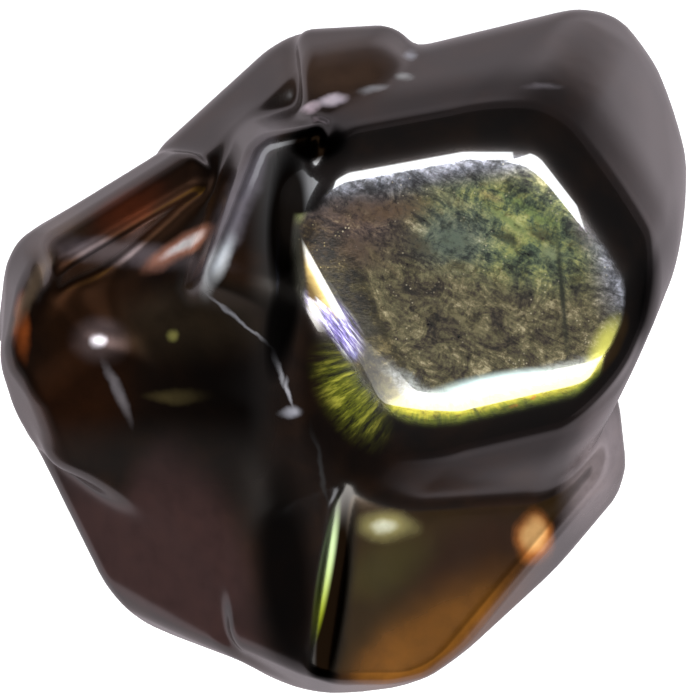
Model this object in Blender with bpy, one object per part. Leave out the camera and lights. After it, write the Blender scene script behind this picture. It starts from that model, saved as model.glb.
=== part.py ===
"""Tumbled garnet: a cluster of dodecahedral crystals grown through each other, their edges worn round.

Each crystal is the space behind a set of flat faces. The stone is what at least one crystal fills.
Lengths are in millimetres from the middle of the base, +Y to the back and +Z up.
"""
import math

import bmesh
import bpy
import numpy as np

NAME = "garnet"
MM = 0.001

# Ray centre inside the stone
CORE = (-0.7, 1.1, 1.8)

# Valleys between crystals are filled to about this width
VALLEY = 0.12

# Rays are the corners of a sphere split this many times
SPHERE_SPLITS = 7

# Each ray starts this far out and settles on the surface by a share of the gap at a time
START_ABOVE = 0.25
SETTLE_SHARE = 0.55
SETTLE_STEPS = 50

# Rounds of sliding the corners along the surface to even spacing, and steps back onto it
SPREAD_ROUNDS = 16
PULL_STEPS = 2

# Least steepness a step back divides by, and a length that stands for nothing
LEAST_STEEP = 0.05
TINY = 1e-9

# Share of the triangles kept once flat faces are thinned out
KEPT_SHARE = 0.088

# Each crystal: width of its worn edges, then its faces
# A face: compass direction it looks to, lean from level, a point on it
# Main crystal: level rhombic face on top, four faces leaning 60 degrees around it
MAIN_CRYSTAL = (0.95, [
    (0, 0, (2.46, 1.41, 11.00)),
    (100.5, 60, (1.86, 4.67, 11.00)),
    (29, 60, (5.77, 3.24, 11.00)),
    (204, 44, (-0.29, 0.18, 11.00)),
    (283, 60, (3.17, -1.64, 11.00)),
    (-24, 90, (6.35, -0.32, 9.68)),
    (157, 74, (-1.51, 3.09, 10.12)),
    (107, 118, (4.40, 7.76, 6.89)),
    (25, 112, (7.86, 5.54, 6.82)),
    (-4, 105, (7.69, 3.50, 6.60)),
    (60, 100, (6.58, 7.43, 6.71)),
    (205, 120, (-2.52, -0.92, 5.50)),
    (283, 120, (3.70, -3.95, 5.50)),
    (-24, 112, (6.42, -0.35, 6.38)),
    (157, 98, (-1.87, 3.25, 6.60)),
    (80, 138, (3.89, 6.14, 3.30)),
    (20, 140, (6.09, 4.16, 2.86)),
    (-30, 140, (5.87, 0.42, 2.42)),
    (0, 180, (0.00, 0.00, 0.57)),
    (56, 44, (4.53, 4.47, 11.00)),
    (233, 45, (0.44, -1.28, 11.00)),
])

# Front crystal: top falls away to the front right
FRONT_CRYSTAL = (0.29, [
    (-40, 22, (1.25, -3.48, 8.80)),
    (185, 42, (-0.37, -4.64, 8.91)),
    (-40, 74, (4.54, -4.42, 7.15)),
    (-40, 108, (5.47, -4.51, 6.16)),
    (272, 82, (1.25, -7.43, 7.04)),
    (272, 112, (0.81, -7.60, 5.72)),
    (298, 80, (3.23, -6.63, 6.60)),
    (300, 112, (2.79, -6.02, 5.28)),
    (240, 80, (-1.58, -6.98, 6.71)),
    (242, 110, (-1.79, -7.33, 5.28)),
    (4, 66, (5.74, -2.66, 7.70)),
    (8, 105, (6.25, -2.35, 6.16)),
    (90, 60, (2.13, -1.12, 9.46)),
    (135, 60, (0.15, -1.78, 8.14)),
    (60, 60, (4.77, -1.12, 7.70)),
    (185, 110, (-1.84, -4.64, 4.40)),
    (90, 95, (2.13, 1.96, 5.50)),
    (-50, 142, (3.45, -4.86, 2.42)),
    (265, 144, (0.59, -6.40, 1.98)),
    (20, 135, (5.43, -2.22, 3.30)),
    (0, 180, (0.00, 0.00, 0.75)),
])

# Front left crystal: narrow crest and one large sloping face
FRONT_LEFT_CRYSTAL = (0.33, [
    (255, 27, (-1.12, -4.20, 7.74)),
    (207, 44, (-2.13, -4.20, 7.74)),
    (207, 30, (-2.18, -4.11, 7.74)),
    (206, 108, (-6.52, -2.22, 3.48)),
    (235, 78, (-4.03, -6.30, 4.51)),
    (245, 112, (-3.76, -6.58, 3.30)),
    (275, 80, (-1.17, -7.45, 5.72)),
    (275, 110, (-1.17, -7.59, 5.06)),
    (252, 90, (-2.55, -6.81, 5.28)),
    (350, 50, (-0.29, -4.64, 7.26)),
    (110, 50, (-3.59, -1.25, 8.18)),
    (110, 100, (-6.01, -1.01, 3.30)),
    (350, 110, (0.37, -4.64, 4.40)),
    (207, 145, (-5.13, -3.32, 1.32)),
    (250, 148, (-2.71, -5.74, 1.10)),
    (0, 180, (0.00, 0.00, 0.66)),
])

# Left crystal: low rounded knob
LEFT_CRYSTAL = (0.26, [
    (200, 30, (-5.21, -0.02, 8.23)),
    (75, 20, (-5.26, 0.13, 8.29)),
    (262, 38, (-4.80, -2.00, 6.60)),
    (262, 110, (-5.35, -2.27, 4.40)),
    (172, 76, (-7.27, 0.86, 7.04)),
    (178, 106, (-7.54, 0.41, 5.76)),
    (213, 74, (-6.88, -1.15, 6.82)),
    (208, 108, (-7.59, -1.37, 5.50)),
    (100, 55, (-5.57, 1.98, 7.96)),
    (140, 70, (-7.05, 1.86, 7.15)),
    (138, 100, (-7.33, 2.18, 6.27)),
    (5, 34, (-4.33, 0.42, 8.32)),
    (0, 100, (-0.07, 0.42, 4.40)),
    (100, 110, (-5.57, 2.65, 5.28)),
    (180, 140, (-6.23, 0.20, 2.42)),
    (0, 180, (0.00, 0.00, 0.99)),
])

# Back left crystal: ridge above the knob
BACK_LEFT_CRYSTAL = (0.24, [
    (122, 34, (-4.69, 3.01, 8.45)),
    (122, 74, (-5.68, 3.12, 7.59)),
    (121, 106, (-5.74, 3.34, 6.71)),
    (300, 55, (-4.69, 2.40, 8.29)),
    (272, 98, (-4.69, 0.20, 5.28)),
    (185, 66, (-6.75, 2.29, 7.59)),
    (165, 100, (-7.49, 2.00, 6.05)),
    (30, 50, (-2.88, 3.23, 8.62)),
    (30, 98, (-0.95, 3.28, 5.28)),
    (60, 100, (-3.85, 4.33, 6.60)),
    (125, 138, (-4.69, 2.40, 2.86)),
    (0, 180, (0.00, 0.00, 0.88)),
])

# Back crystal: one long face to the back left
BACK_CRYSTAL = (0.44, [
    (133, 58, (-2.53, 5.74, 6.64)),
    (132, 106, (-2.65, 5.91, 6.40)),
    (313, 12, (-2.44, 4.33, 8.23)),
    (200, 60, (-3.37, 3.50, 7.59)),
    (195, 104, (-4.06, 4.17, 5.50)),
    (60, 60, (-0.51, 6.36, 7.26)),
    (60, 110, (-0.07, 6.80, 5.94)),
    (280, 50, (-1.61, 1.74, 8.36)),
    (-10, 98, (0.81, 3.28, 5.72)),
    (280, 98, (-1.39, 0.20, 5.72)),
    (95, 95, (-0.94, 6.98, 6.16)),
    (130, 138, (-2.05, 5.04, 2.86)),
    (0, 180, (0.00, 0.00, 0.99)),
])

# Back bud: small crystal against the main one
BACK_BUD = (0.35, [
    (180, 84, (-1.01, 5.92, 7.48)),
    (180, 93, (-1.17, 5.92, 6.38)),
    (85, 32, (0.59, 5.92, 8.76)),
    (95, 62, (0.04, 6.84, 7.74)),
    (92, 108, (0.05, 7.09, 6.82)),
    (40, 60, (1.41, 6.09, 8.23)),
    (45, 105, (1.73, 6.48, 6.82)),
    (290, 50, (0.81, 4.82, 8.89)),
    (140, 95, (-1.07, 6.99, 6.60)),
    (290, 96, (0.81, 0.20, 5.72)),
    (95, 138, (0.15, 5.92, 3.74)),
    (0, 180, (0.00, 0.00, 1.10)),
])

# Saddle crystal: fills the hollow between the main crystal and the knob
SADDLE_CRYSTAL = (0.48, [
    (205, 34, (-2.66, 0.59, 9.59)),
    (150, 40, (-2.66, 1.21, 9.68)),
    (240, 38, (-2.82, -1.78, 7.79)),
    (20, 50, (-0.29, -0.68, 9.90)),
    (90, 50, (-1.61, 2.40, 9.68)),
    (285, 45, (-0.95, -2.66, 8.91)),
    (160, 110, (-5.35, 1.08, 5.50)),
    (240, 110, (-4.25, -3.32, 4.40)),
    (20, 98, (1.25, -0.68, 6.60)),
    (100, 110, (-1.83, 3.28, 6.16)),
    (280, 110, (-0.95, -4.64, 5.50)),
    (0, 180, (0.00, 0.00, 1.10)),
])

# Ridge crystal: narrow shelf along the left of the main crystal
RIDGE_CRYSTAL = (0.31, [
    (160, 30, (-2.05, 2.62, 10.38)),
    (172, 14, (-1.78, 2.57, 10.43)),
    (160, 76, (-2.77, 2.79, 9.35)),
    (235, 50, (-2.86, 1.30, 9.81)),
    (105, 76, (-1.65, 4.86, 9.24)),
    (0, 60, (-0.29, 2.62, 10.34)),
    (160, 110, (-4.25, 2.84, 5.50)),
    (20, 98, (1.25, -0.68, 6.60)),
    (100, 110, (-1.78, 5.04, 6.16)),
    (250, 110, (-2.71, -1.56, 5.50)),
    (0, 180, (0.00, 0.00, 1.10)),
])

# Core crystal: closes the underside between the others
CORE_CRYSTAL = (0.66, [
    (0, 0, (0.04, 0.09, 6.60)),
    (175, 98, (-5.13, 0.09, 4.40)),
    (215, 98, (-3.59, -3.32, 3.96)),
    (262, 98, (-0.95, -5.96, 4.18)),
    (305, 98, (2.35, -4.64, 3.96)),
    (0, 96, (4.99, 0.09, 4.40)),
    (60, 98, (3.45, 4.60, 4.40)),
    (120, 98, (-2.71, 4.16, 4.40)),
    (180, 144, (-2.66, 0.09, 0.00)),
    (236, 144, (-1.78, -2.49, 0.00)),
    (295, 142, (1.47, -2.88, 0.00)),
    (0, 140, (3.06, 0.09, 0.00)),
    (60, 142, (1.91, 2.73, 0.00)),
    (122, 142, (-1.78, 2.40, 0.00)),
    (0, 180, (0.00, 0.00, -0.35)),
])

CRYSTALS = [
    MAIN_CRYSTAL, FRONT_CRYSTAL, FRONT_LEFT_CRYSTAL, LEFT_CRYSTAL, BACK_LEFT_CRYSTAL,
    BACK_CRYSTAL, BACK_BUD, SADDLE_CRYSTAL, RIDGE_CRYSTAL, CORE_CRYSTAL,
]


# Geometry of the grown and worn shape

def face_arrays(faces):
    """Outward directions and distances of a crystal's faces."""
    normals, distances = [], []
    for compass, lean, point in faces:
        a, t = math.radians(compass), math.radians(lean)
        normal = np.array([math.cos(a) * math.sin(t), math.sin(a) * math.sin(t), math.cos(t)])
        normals.append(normal)
        distances.append(float(normal @ np.array(point)))
    return np.array(normals), np.array(distances)


def worn_crystal(points, wear, normals, distances):
    """Signed distance to one crystal with rounded edges, and its slope."""
    past = points @ normals.T - distances
    nearest = past.max(axis=1)
    push = np.maximum(past + wear, 0.0)
    size = np.sqrt((push * push).sum(axis=1))
    inside = nearest < -wear
    rounded = np.where(inside, nearest, size - wear)
    slope = push @ normals / np.maximum(size, TINY)[:, None]
    return rounded, np.where(inside[:, None], normals[past.argmax(axis=1)], slope)


def stone_distance(points, crystals):
    """Signed distance to the whole cluster with softened valleys, and its slope."""
    pairs = [worn_crystal(points, *c) for c in crystals]
    each = np.stack([d for d, _ in pairs], axis=1)
    slopes = np.stack([s for _, s in pairs], axis=1)
    least = each.min(axis=1)
    share = np.exp(-(each - least[:, None]) / VALLEY)
    total = share.sum(axis=1)
    slope = (slopes * (share / total[:, None])[:, :, None]).sum(axis=1)
    return least - VALLEY * np.log(total), slope


def sharp_reach(rays, crystals):
    """How far each ray runs in the cluster before any edge is worn."""
    core = np.array(CORE)
    reach = np.zeros(len(rays))
    for _, normals, distances in crystals:
        toward = rays @ normals.T
        room = distances - normals @ core
        with np.errstate(divide="ignore"):
            hit = room / toward
        leave = np.where(toward > 0, hit, np.inf).min(axis=1)
        enter = np.where(toward < 0, hit, -np.inf).max(axis=1)
        reach = np.maximum(reach, np.where(leave > enter, leave, 0.0))
    return reach


def surface_points(rays, crystals):
    """Outermost point of the stone along each ray from the core."""
    core = np.array(CORE)
    reach = sharp_reach(rays, crystals) + START_ABOVE
    for _ in range(SETTLE_STEPS):
        gap, _ = stone_distance(core + rays * reach[:, None], crystals)
        reach -= gap * SETTLE_SHARE
    return core + rays * reach[:, None]


def pull_to_surface(points, crystals):
    """Move points straight up or down the slope onto the surface."""
    for _ in range(PULL_STEPS):
        gap, slope = stone_distance(points, crystals)
        steep = np.maximum((slope * slope).sum(axis=1), LEAST_STEEP)
        points = points - slope * (gap / steep)[:, None]
    return points


def spread_evenly(points, edges, crystals):
    """Slide points along the surface until their spacing is even."""
    count = np.bincount(edges.ravel(), minlength=len(points))
    for _ in range(SPREAD_ROUNDS):
        total = np.zeros_like(points)
        for axis in range(3):
            total[:, axis] = (
                np.bincount(edges[:, 0], points[edges[:, 1], axis], len(points))
                + np.bincount(edges[:, 1], points[edges[:, 0], axis], len(points)))
        points = pull_to_surface(total / count[:, None], crystals)
    return points


# Building

def clear_scene():
    for obj in list(bpy.data.objects):
        bpy.data.objects.remove(obj, do_unlink=True)


def garnet_material():
    """Dark brown, glassy."""
    mat = bpy.data.materials.new("garnet_brown")
    mat.use_nodes = True
    shader = mat.node_tree.nodes["Principled BSDF"]
    shader.inputs["Base Color"].default_value = (0.045, 0.022, 0.014, 1.0)
    shader.inputs["Roughness"].default_value = 0.06
    shader.inputs["Metallic"].default_value = 0.0
    shader.inputs["IOR"].default_value = 1.88
    return mat


def grown_mesh(crystals):
    """A sphere whose corners are drawn in to the stone's surface."""
    mesh = bpy.data.meshes.new(NAME + "_full")
    bm = bmesh.new()
    bmesh.ops.create_icosphere(bm, subdivisions=SPHERE_SPLITS, radius=1.0)
    rays = np.array([v.co[:] for v in bm.verts])
    rays /= np.linalg.norm(rays, axis=1, keepdims=True)
    edges = np.array([[v.index for v in e.verts] for e in bm.edges])
    points = spread_evenly(surface_points(rays, crystals), edges, crystals)
    for vert, point in zip(bm.verts, points):
        vert.co = point * MM
    bm.to_mesh(mesh)
    bm.free()
    return mesh


def thinned(mesh, collection):
    """Fewer triangles where the stone is flat."""
    obj = bpy.data.objects.new(NAME + "_full", mesh)
    collection.objects.link(obj)
    thin = obj.modifiers.new("thin", "DECIMATE")
    thin.ratio = KEPT_SHARE
    bpy.context.view_layer.update()
    depsgraph = bpy.context.evaluated_depsgraph_get()
    result = bpy.data.meshes.new_from_object(obj.evaluated_get(depsgraph))
    bpy.data.objects.remove(obj, do_unlink=True)
    return result


def cut_base(mesh):
    """The worn flat spot the stone rests on, at height zero."""
    bm = bmesh.new()
    bm.from_mesh(mesh)
    everything = bm.verts[:] + bm.edges[:] + bm.faces[:]
    cut = bmesh.ops.bisect_plane(
        bm, geom=everything, plane_co=(0, 0, 0), plane_no=(0, 0, -1), clear_outer=True)
    rim = [e for e in cut["geom_cut"] if isinstance(e, bmesh.types.BMEdge)]
    bmesh.ops.holes_fill(bm, edges=rim)
    bmesh.ops.triangulate(bm, faces=bm.faces[:])
    bmesh.ops.recalc_face_normals(bm, faces=bm.faces[:])
    for face in bm.faces:
        face.smooth = True
    bm.to_mesh(mesh)
    bm.free()


def centre_footprint(mesh):
    """Slide the stone level so that its outline's box is centred on the origin."""
    corners = np.array([v.co[:2] for v in mesh.vertices])
    middle = (corners.min(axis=0) + corners.max(axis=0)) / 2
    for vert in mesh.vertices:
        vert.co.x -= middle[0]
        vert.co.y -= middle[1]


def build():
    clear_scene()
    collection = bpy.data.collections.new("tumbled_garnet")
    bpy.context.scene.collection.children.link(collection)
    crystals = [(wear, *face_arrays(faces)) for wear, faces in CRYSTALS]
    mesh = thinned(grown_mesh(crystals), collection)
    cut_base(mesh)
    centre_footprint(mesh)
    mesh.name = NAME
    mesh.materials.clear()
    mesh.materials.append(garnet_material())
    stone = bpy.data.objects.new(NAME, mesh)
    collection.objects.link(stone)


build()
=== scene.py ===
"""Looks of the tumbled garnet: worn crystals, a rainbow face, a light table and four soft lamps.

The stone's own lengths are in millimetres, +Y to the back and +Z up. Table, lamps and camera are in metres.
"""
import math
import bmesh
import bpy
import numpy as np
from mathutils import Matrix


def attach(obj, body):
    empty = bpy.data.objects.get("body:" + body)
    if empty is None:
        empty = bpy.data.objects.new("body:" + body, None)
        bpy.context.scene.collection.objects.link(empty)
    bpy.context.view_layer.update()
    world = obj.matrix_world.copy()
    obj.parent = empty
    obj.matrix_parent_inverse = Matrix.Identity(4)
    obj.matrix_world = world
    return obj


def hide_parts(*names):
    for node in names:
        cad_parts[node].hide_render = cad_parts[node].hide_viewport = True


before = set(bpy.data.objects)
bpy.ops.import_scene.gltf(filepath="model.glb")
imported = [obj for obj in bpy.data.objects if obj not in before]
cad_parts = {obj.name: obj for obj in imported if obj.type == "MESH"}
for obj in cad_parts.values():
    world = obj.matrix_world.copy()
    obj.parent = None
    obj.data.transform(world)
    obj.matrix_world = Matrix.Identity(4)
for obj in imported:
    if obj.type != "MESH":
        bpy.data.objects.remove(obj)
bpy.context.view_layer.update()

MM = 0.001

UP = (0.0, 0.0, 1.0)
EAST = (1.0, 0.0, 0.0)
NORTH = (0.0, 1.0, 0.0)
WEST = (-1.0, 0.0, 0.0)

# Ray centre inside the stone
CORE = (-0.7, 1.1, 1.8)

# Valleys between crystals are filled to about this width
VALLEY = 0.12

# Rays are the corners of a sphere split this many times
SPHERE_SPLITS = 7

# Each ray starts this far out and settles on the surface by a share of the gap at a time
START_ABOVE = 0.25
SETTLE_SHARE = 0.55
SETTLE_STEPS = 40

# Rounds of sliding the corners along the surface to even spacing, and steps back onto it
SPREAD_ROUNDS = 16
PULL_STEPS = 2
LAST_PULL_STEPS = 3

# Least steepness a step back divides by, and a length that stands for nothing
LEAST_STEEP = 0.05
TINY = 1e-9

# Faces that look up by this much and lie above this height are split once more
FINE_RISE = 0.2
FINE_ABOVE = 3.0

# Each crystal: width of its worn edges, then its faces
# A face: compass direction it looks to, lean from level, a point on it
# Main crystal: level rhombic face on top, faces leaning 44 to 60 degrees around it
MAIN_CRYSTAL = (0.95, [
    (0, 0, (2.46, 1.41, 11.00)),
    (100.5, 60, (1.86, 4.67, 11.00)),
    (29, 60, (5.77, 3.24, 11.00)),
    (204, 44, (-0.29, 0.18, 11.00)),
    (283, 60, (3.17, -1.64, 11.00)),
    (-24, 90, (6.35, -0.32, 9.68)),
    (157, 74, (-1.51, 3.09, 10.12)),
    (107, 118, (4.40, 7.76, 6.89)),
    (25, 112, (7.86, 5.54, 6.82)),
    (-4, 105, (7.69, 3.50, 6.60)),
    (60, 100, (6.58, 7.43, 6.71)),
    (205, 120, (-2.52, -0.92, 5.50)),
    (283, 120, (3.70, -3.95, 5.50)),
    (-24, 112, (6.42, -0.35, 6.38)),
    (157, 98, (-1.87, 3.25, 6.60)),
    (80, 138, (3.89, 6.14, 3.30)),
    (20, 140, (6.09, 4.16, 2.86)),
    (-30, 140, (5.87, 0.42, 2.42)),
    (0, 180, (0.00, 0.00, 0.57)),
    (56, 44, (4.53, 4.47, 11.00)),
    (233, 45, (0.44, -1.28, 11.00)),
])

# Front crystal: top falls away to the front right
FRONT_CRYSTAL = (0.29, [
    (-40, 22, (1.25, -3.48, 8.80)),
    (185, 42, (-0.37, -4.64, 8.91)),
    (-40, 74, (4.54, -4.42, 7.15)),
    (-40, 108, (5.47, -4.51, 6.16)),
    (272, 82, (1.25, -7.43, 7.04)),
    (272, 112, (0.81, -7.60, 5.72)),
    (298, 80, (3.23, -6.63, 6.60)),
    (300, 112, (2.79, -6.02, 5.28)),
    (240, 80, (-1.58, -6.98, 6.71)),
    (242, 110, (-1.79, -7.33, 5.28)),
    (4, 66, (5.74, -2.66, 7.70)),
    (8, 105, (6.25, -2.35, 6.16)),
    (90, 60, (2.13, -1.12, 9.46)),
    (135, 60, (0.15, -1.78, 8.14)),
    (60, 60, (4.77, -1.12, 7.70)),
    (185, 110, (-1.84, -4.64, 4.40)),
    (90, 95, (2.13, 1.96, 5.50)),
    (-50, 142, (3.45, -4.86, 2.42)),
    (265, 144, (0.59, -6.40, 1.98)),
    (20, 135, (5.43, -2.22, 3.30)),
    (0, 180, (0.00, 0.00, 0.75)),
])

# Front left crystal: narrow crest and one large sloping face
FRONT_LEFT_CRYSTAL = (0.33, [
    (255, 27, (-1.12, -4.20, 7.74)),
    (207, 44, (-2.13, -4.20, 7.74)),
    (207, 30, (-2.18, -4.11, 7.74)),
    (206, 108, (-6.52, -2.22, 3.48)),
    (235, 78, (-4.03, -6.30, 4.51)),
    (245, 112, (-3.76, -6.58, 3.30)),
    (275, 80, (-1.17, -7.45, 5.72)),
    (275, 110, (-1.17, -7.59, 5.06)),
    (252, 90, (-2.55, -6.81, 5.28)),
    (350, 50, (-0.29, -4.64, 7.26)),
    (110, 50, (-3.59, -1.25, 8.18)),
    (110, 100, (-6.01, -1.01, 3.30)),
    (350, 110, (0.37, -4.64, 4.40)),
    (207, 145, (-5.13, -3.32, 1.32)),
    (250, 148, (-2.71, -5.74, 1.10)),
    (0, 180, (0.00, 0.00, 0.66)),
])

# Left crystal: low rounded knob
LEFT_CRYSTAL = (0.26, [
    (200, 30, (-5.21, -0.02, 8.23)),
    (75, 20, (-5.26, 0.13, 8.29)),
    (262, 38, (-4.80, -2.00, 6.60)),
    (262, 110, (-5.35, -2.27, 4.40)),
    (172, 76, (-7.27, 0.86, 7.04)),
    (178, 106, (-7.54, 0.41, 5.76)),
    (213, 74, (-6.88, -1.15, 6.82)),
    (208, 108, (-7.59, -1.37, 5.50)),
    (100, 55, (-5.57, 1.98, 7.96)),
    (140, 70, (-7.05, 1.86, 7.15)),
    (138, 100, (-7.33, 2.18, 6.27)),
    (5, 34, (-4.33, 0.42, 8.32)),
    (0, 100, (-0.07, 0.42, 4.40)),
    (100, 110, (-5.57, 2.65, 5.28)),
    (180, 140, (-6.23, 0.20, 2.42)),
    (0, 180, (0.00, 0.00, 0.99)),
])

# Back left crystal: ridge above the knob
BACK_LEFT_CRYSTAL = (0.24, [
    (122, 34, (-4.69, 3.01, 8.45)),
    (122, 74, (-5.68, 3.12, 7.59)),
    (121, 106, (-5.74, 3.34, 6.71)),
    (300, 55, (-4.69, 2.40, 8.29)),
    (272, 98, (-4.69, 0.20, 5.28)),
    (185, 66, (-6.75, 2.29, 7.59)),
    (165, 100, (-7.49, 2.00, 6.05)),
    (30, 50, (-2.88, 3.23, 8.62)),
    (30, 98, (-0.95, 3.28, 5.28)),
    (60, 100, (-3.85, 4.33, 6.60)),
    (125, 138, (-4.69, 2.40, 2.86)),
    (0, 180, (0.00, 0.00, 0.88)),
])

# Back crystal: one long face to the back left
BACK_CRYSTAL = (0.44, [
    (133, 58, (-2.53, 5.74, 6.64)),
    (132, 106, (-2.65, 5.91, 6.40)),
    (313, 12, (-2.44, 4.33, 8.23)),
    (200, 60, (-3.37, 3.50, 7.59)),
    (195, 104, (-4.06, 4.17, 5.50)),
    (60, 60, (-0.51, 6.36, 7.26)),
    (60, 110, (-0.07, 6.80, 5.94)),
    (280, 50, (-1.61, 1.74, 8.36)),
    (-10, 98, (0.81, 3.28, 5.72)),
    (280, 98, (-1.39, 0.20, 5.72)),
    (95, 95, (-0.94, 6.98, 6.16)),
    (130, 138, (-2.05, 5.04, 2.86)),
    (0, 180, (0.00, 0.00, 0.99)),
])

# Back bud: small crystal against the main one
BACK_BUD = (0.35, [
    (180, 84, (-1.01, 5.92, 7.48)),
    (180, 93, (-1.17, 5.92, 6.38)),
    (85, 32, (0.59, 5.92, 8.76)),
    (95, 62, (0.04, 6.84, 7.74)),
    (92, 108, (0.05, 7.09, 6.82)),
    (40, 60, (1.41, 6.09, 8.23)),
    (45, 105, (1.73, 6.48, 6.82)),
    (290, 50, (0.81, 4.82, 8.89)),
    (140, 95, (-1.07, 6.99, 6.60)),
    (290, 96, (0.81, 0.20, 5.72)),
    (95, 138, (0.15, 5.92, 3.74)),
    (0, 180, (0.00, 0.00, 1.10)),
])

# Saddle crystal: fills the hollow between the main crystal and the knob
SADDLE_CRYSTAL = (0.48, [
    (205, 34, (-2.66, 0.59, 9.59)),
    (150, 40, (-2.66, 1.21, 9.68)),
    (240, 38, (-2.82, -1.78, 7.79)),
    (20, 50, (-0.29, -0.68, 9.90)),
    (90, 50, (-1.61, 2.40, 9.68)),
    (285, 45, (-0.95, -2.66, 8.91)),
    (160, 110, (-5.35, 1.08, 5.50)),
    (240, 110, (-4.25, -3.32, 4.40)),
    (20, 98, (1.25, -0.68, 6.60)),
    (100, 110, (-1.83, 3.28, 6.16)),
    (280, 110, (-0.95, -4.64, 5.50)),
    (0, 180, (0.00, 0.00, 1.10)),
])

# Ridge crystal: narrow shelf along the left of the main crystal
RIDGE_CRYSTAL = (0.31, [
    (160, 30, (-2.05, 2.62, 10.38)),
    (172, 14, (-1.78, 2.57, 10.43)),
    (160, 76, (-2.77, 2.79, 9.35)),
    (235, 50, (-2.86, 1.30, 9.81)),
    (105, 76, (-1.65, 4.86, 9.24)),
    (0, 60, (-0.29, 2.62, 10.34)),
    (160, 110, (-4.25, 2.84, 5.50)),
    (20, 98, (1.25, -0.68, 6.60)),
    (100, 110, (-1.78, 5.04, 6.16)),
    (250, 110, (-2.71, -1.56, 5.50)),
    (0, 180, (0.00, 0.00, 1.10)),
])

# Core crystal: closes the underside between the others
CORE_CRYSTAL = (0.66, [
    (0, 0, (0.04, 0.09, 6.60)),
    (175, 98, (-5.13, 0.09, 4.40)),
    (215, 98, (-3.59, -3.32, 3.96)),
    (262, 98, (-0.95, -5.96, 4.18)),
    (305, 98, (2.35, -4.64, 3.96)),
    (0, 96, (4.99, 0.09, 4.40)),
    (60, 98, (3.45, 4.60, 4.40)),
    (120, 98, (-2.71, 4.16, 4.40)),
    (180, 144, (-2.66, 0.09, 0.00)),
    (236, 144, (-1.78, -2.49, 0.00)),
    (295, 142, (1.47, -2.88, 0.00)),
    (0, 140, (3.06, 0.09, 0.00)),
    (60, 142, (1.91, 2.73, 0.00)),
    (122, 142, (-1.78, 2.40, 0.00)),
    (0, 180, (0.00, 0.00, -0.35)),
])

CRYSTALS = [
    MAIN_CRYSTAL, FRONT_CRYSTAL, FRONT_LEFT_CRYSTAL, LEFT_CRYSTAL, BACK_LEFT_CRYSTAL,
    BACK_CRYSTAL, BACK_BUD, SADDLE_CRYSTAL, RIDGE_CRYSTAL, CORE_CRYSTAL,
]


# Shape of the worn cluster

def direction(compass, lean=90.0):
    """Unit arrow by compass direction and lean from upright, in degrees."""
    a, t = math.radians(compass), math.radians(lean)
    return (math.cos(a) * math.sin(t), math.sin(a) * math.sin(t), math.cos(t))


def face_arrays(faces):
    """Outward directions and distances of a crystal's faces."""
    normals, distances = [], []
    for compass, lean, point in faces:
        normal = np.array(direction(compass, lean))
        normals.append(normal)
        distances.append(float(normal @ np.array(point)))
    return np.array(normals), np.array(distances)


def worn_crystal(points, wear, normals, distances):
    """Signed distance to one crystal with rounded edges, and its slope."""
    past = points @ normals.T - distances
    nearest = past.max(axis=1)
    push = np.maximum(past + wear, 0.0)
    size = np.sqrt((push * push).sum(axis=1))
    inside = nearest < -wear
    rounded = np.where(inside, nearest, size - wear)
    slope = push @ normals / np.maximum(size, TINY)[:, None]
    return rounded, np.where(inside[:, None], normals[past.argmax(axis=1)], slope)


def stone_distance(points, crystals):
    """Signed distance to the whole cluster with softened valleys, and its slope."""
    pairs = [worn_crystal(points, *c) for c in crystals]
    each = np.stack([d for d, _ in pairs], axis=1)
    slopes = np.stack([s for _, s in pairs], axis=1)
    least = each.min(axis=1)
    share = np.exp(-(each - least[:, None]) / VALLEY)
    total = share.sum(axis=1)
    slope = (slopes * (share / total[:, None])[:, :, None]).sum(axis=1)
    return least - VALLEY * np.log(total), slope


def sharp_reach(rays, crystals):
    """How far each ray runs in the cluster before any edge is worn."""
    core = np.array(CORE)
    reach = np.zeros(len(rays))
    for _, normals, distances in crystals:
        toward = rays @ normals.T
        room = distances - normals @ core
        with np.errstate(divide="ignore"):
            hit = room / toward
        leave = np.where(toward > 0, hit, np.inf).min(axis=1)
        enter = np.where(toward < 0, hit, -np.inf).max(axis=1)
        reach = np.maximum(reach, np.where(leave > enter, leave, 0.0))
    return reach


def surface_points(rays, crystals):
    """Outermost point of the stone along each ray from the core."""
    core = np.array(CORE)
    reach = sharp_reach(rays, crystals) + START_ABOVE
    for _ in range(SETTLE_STEPS):
        gap, _ = stone_distance(core + rays * reach[:, None], crystals)
        reach -= gap * SETTLE_SHARE
    return core + rays * reach[:, None]


def pull_to_surface(points, crystals, steps=PULL_STEPS):
    """Move points straight up or down the slope onto the surface."""
    for _ in range(steps):
        gap, slope = stone_distance(points, crystals)
        steep = np.maximum((slope * slope).sum(axis=1), LEAST_STEEP)
        points = points - slope * (gap / steep)[:, None]
    return points


def spread_evenly(points, edges, crystals):
    """Slide points along the surface until their spacing is even."""
    count = np.bincount(edges.ravel(), minlength=len(points))
    for _ in range(SPREAD_ROUNDS):
        total = np.zeros_like(points)
        for axis in range(3):
            total[:, axis] = (
                np.bincount(edges[:, 0], points[edges[:, 1], axis], len(points))
                + np.bincount(edges[:, 1], points[edges[:, 0], axis], len(points)))
        points = pull_to_surface(total / count[:, None], crystals)
    return points


def read_points(bm):
    return np.array([v.co[:] for v in bm.verts])


def read_edges(bm):
    return np.array([[v.index for v in e.verts] for e in bm.edges])


def write_points(bm, points):
    for vert, point in zip(bm.verts, points):
        vert.co = point


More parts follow.
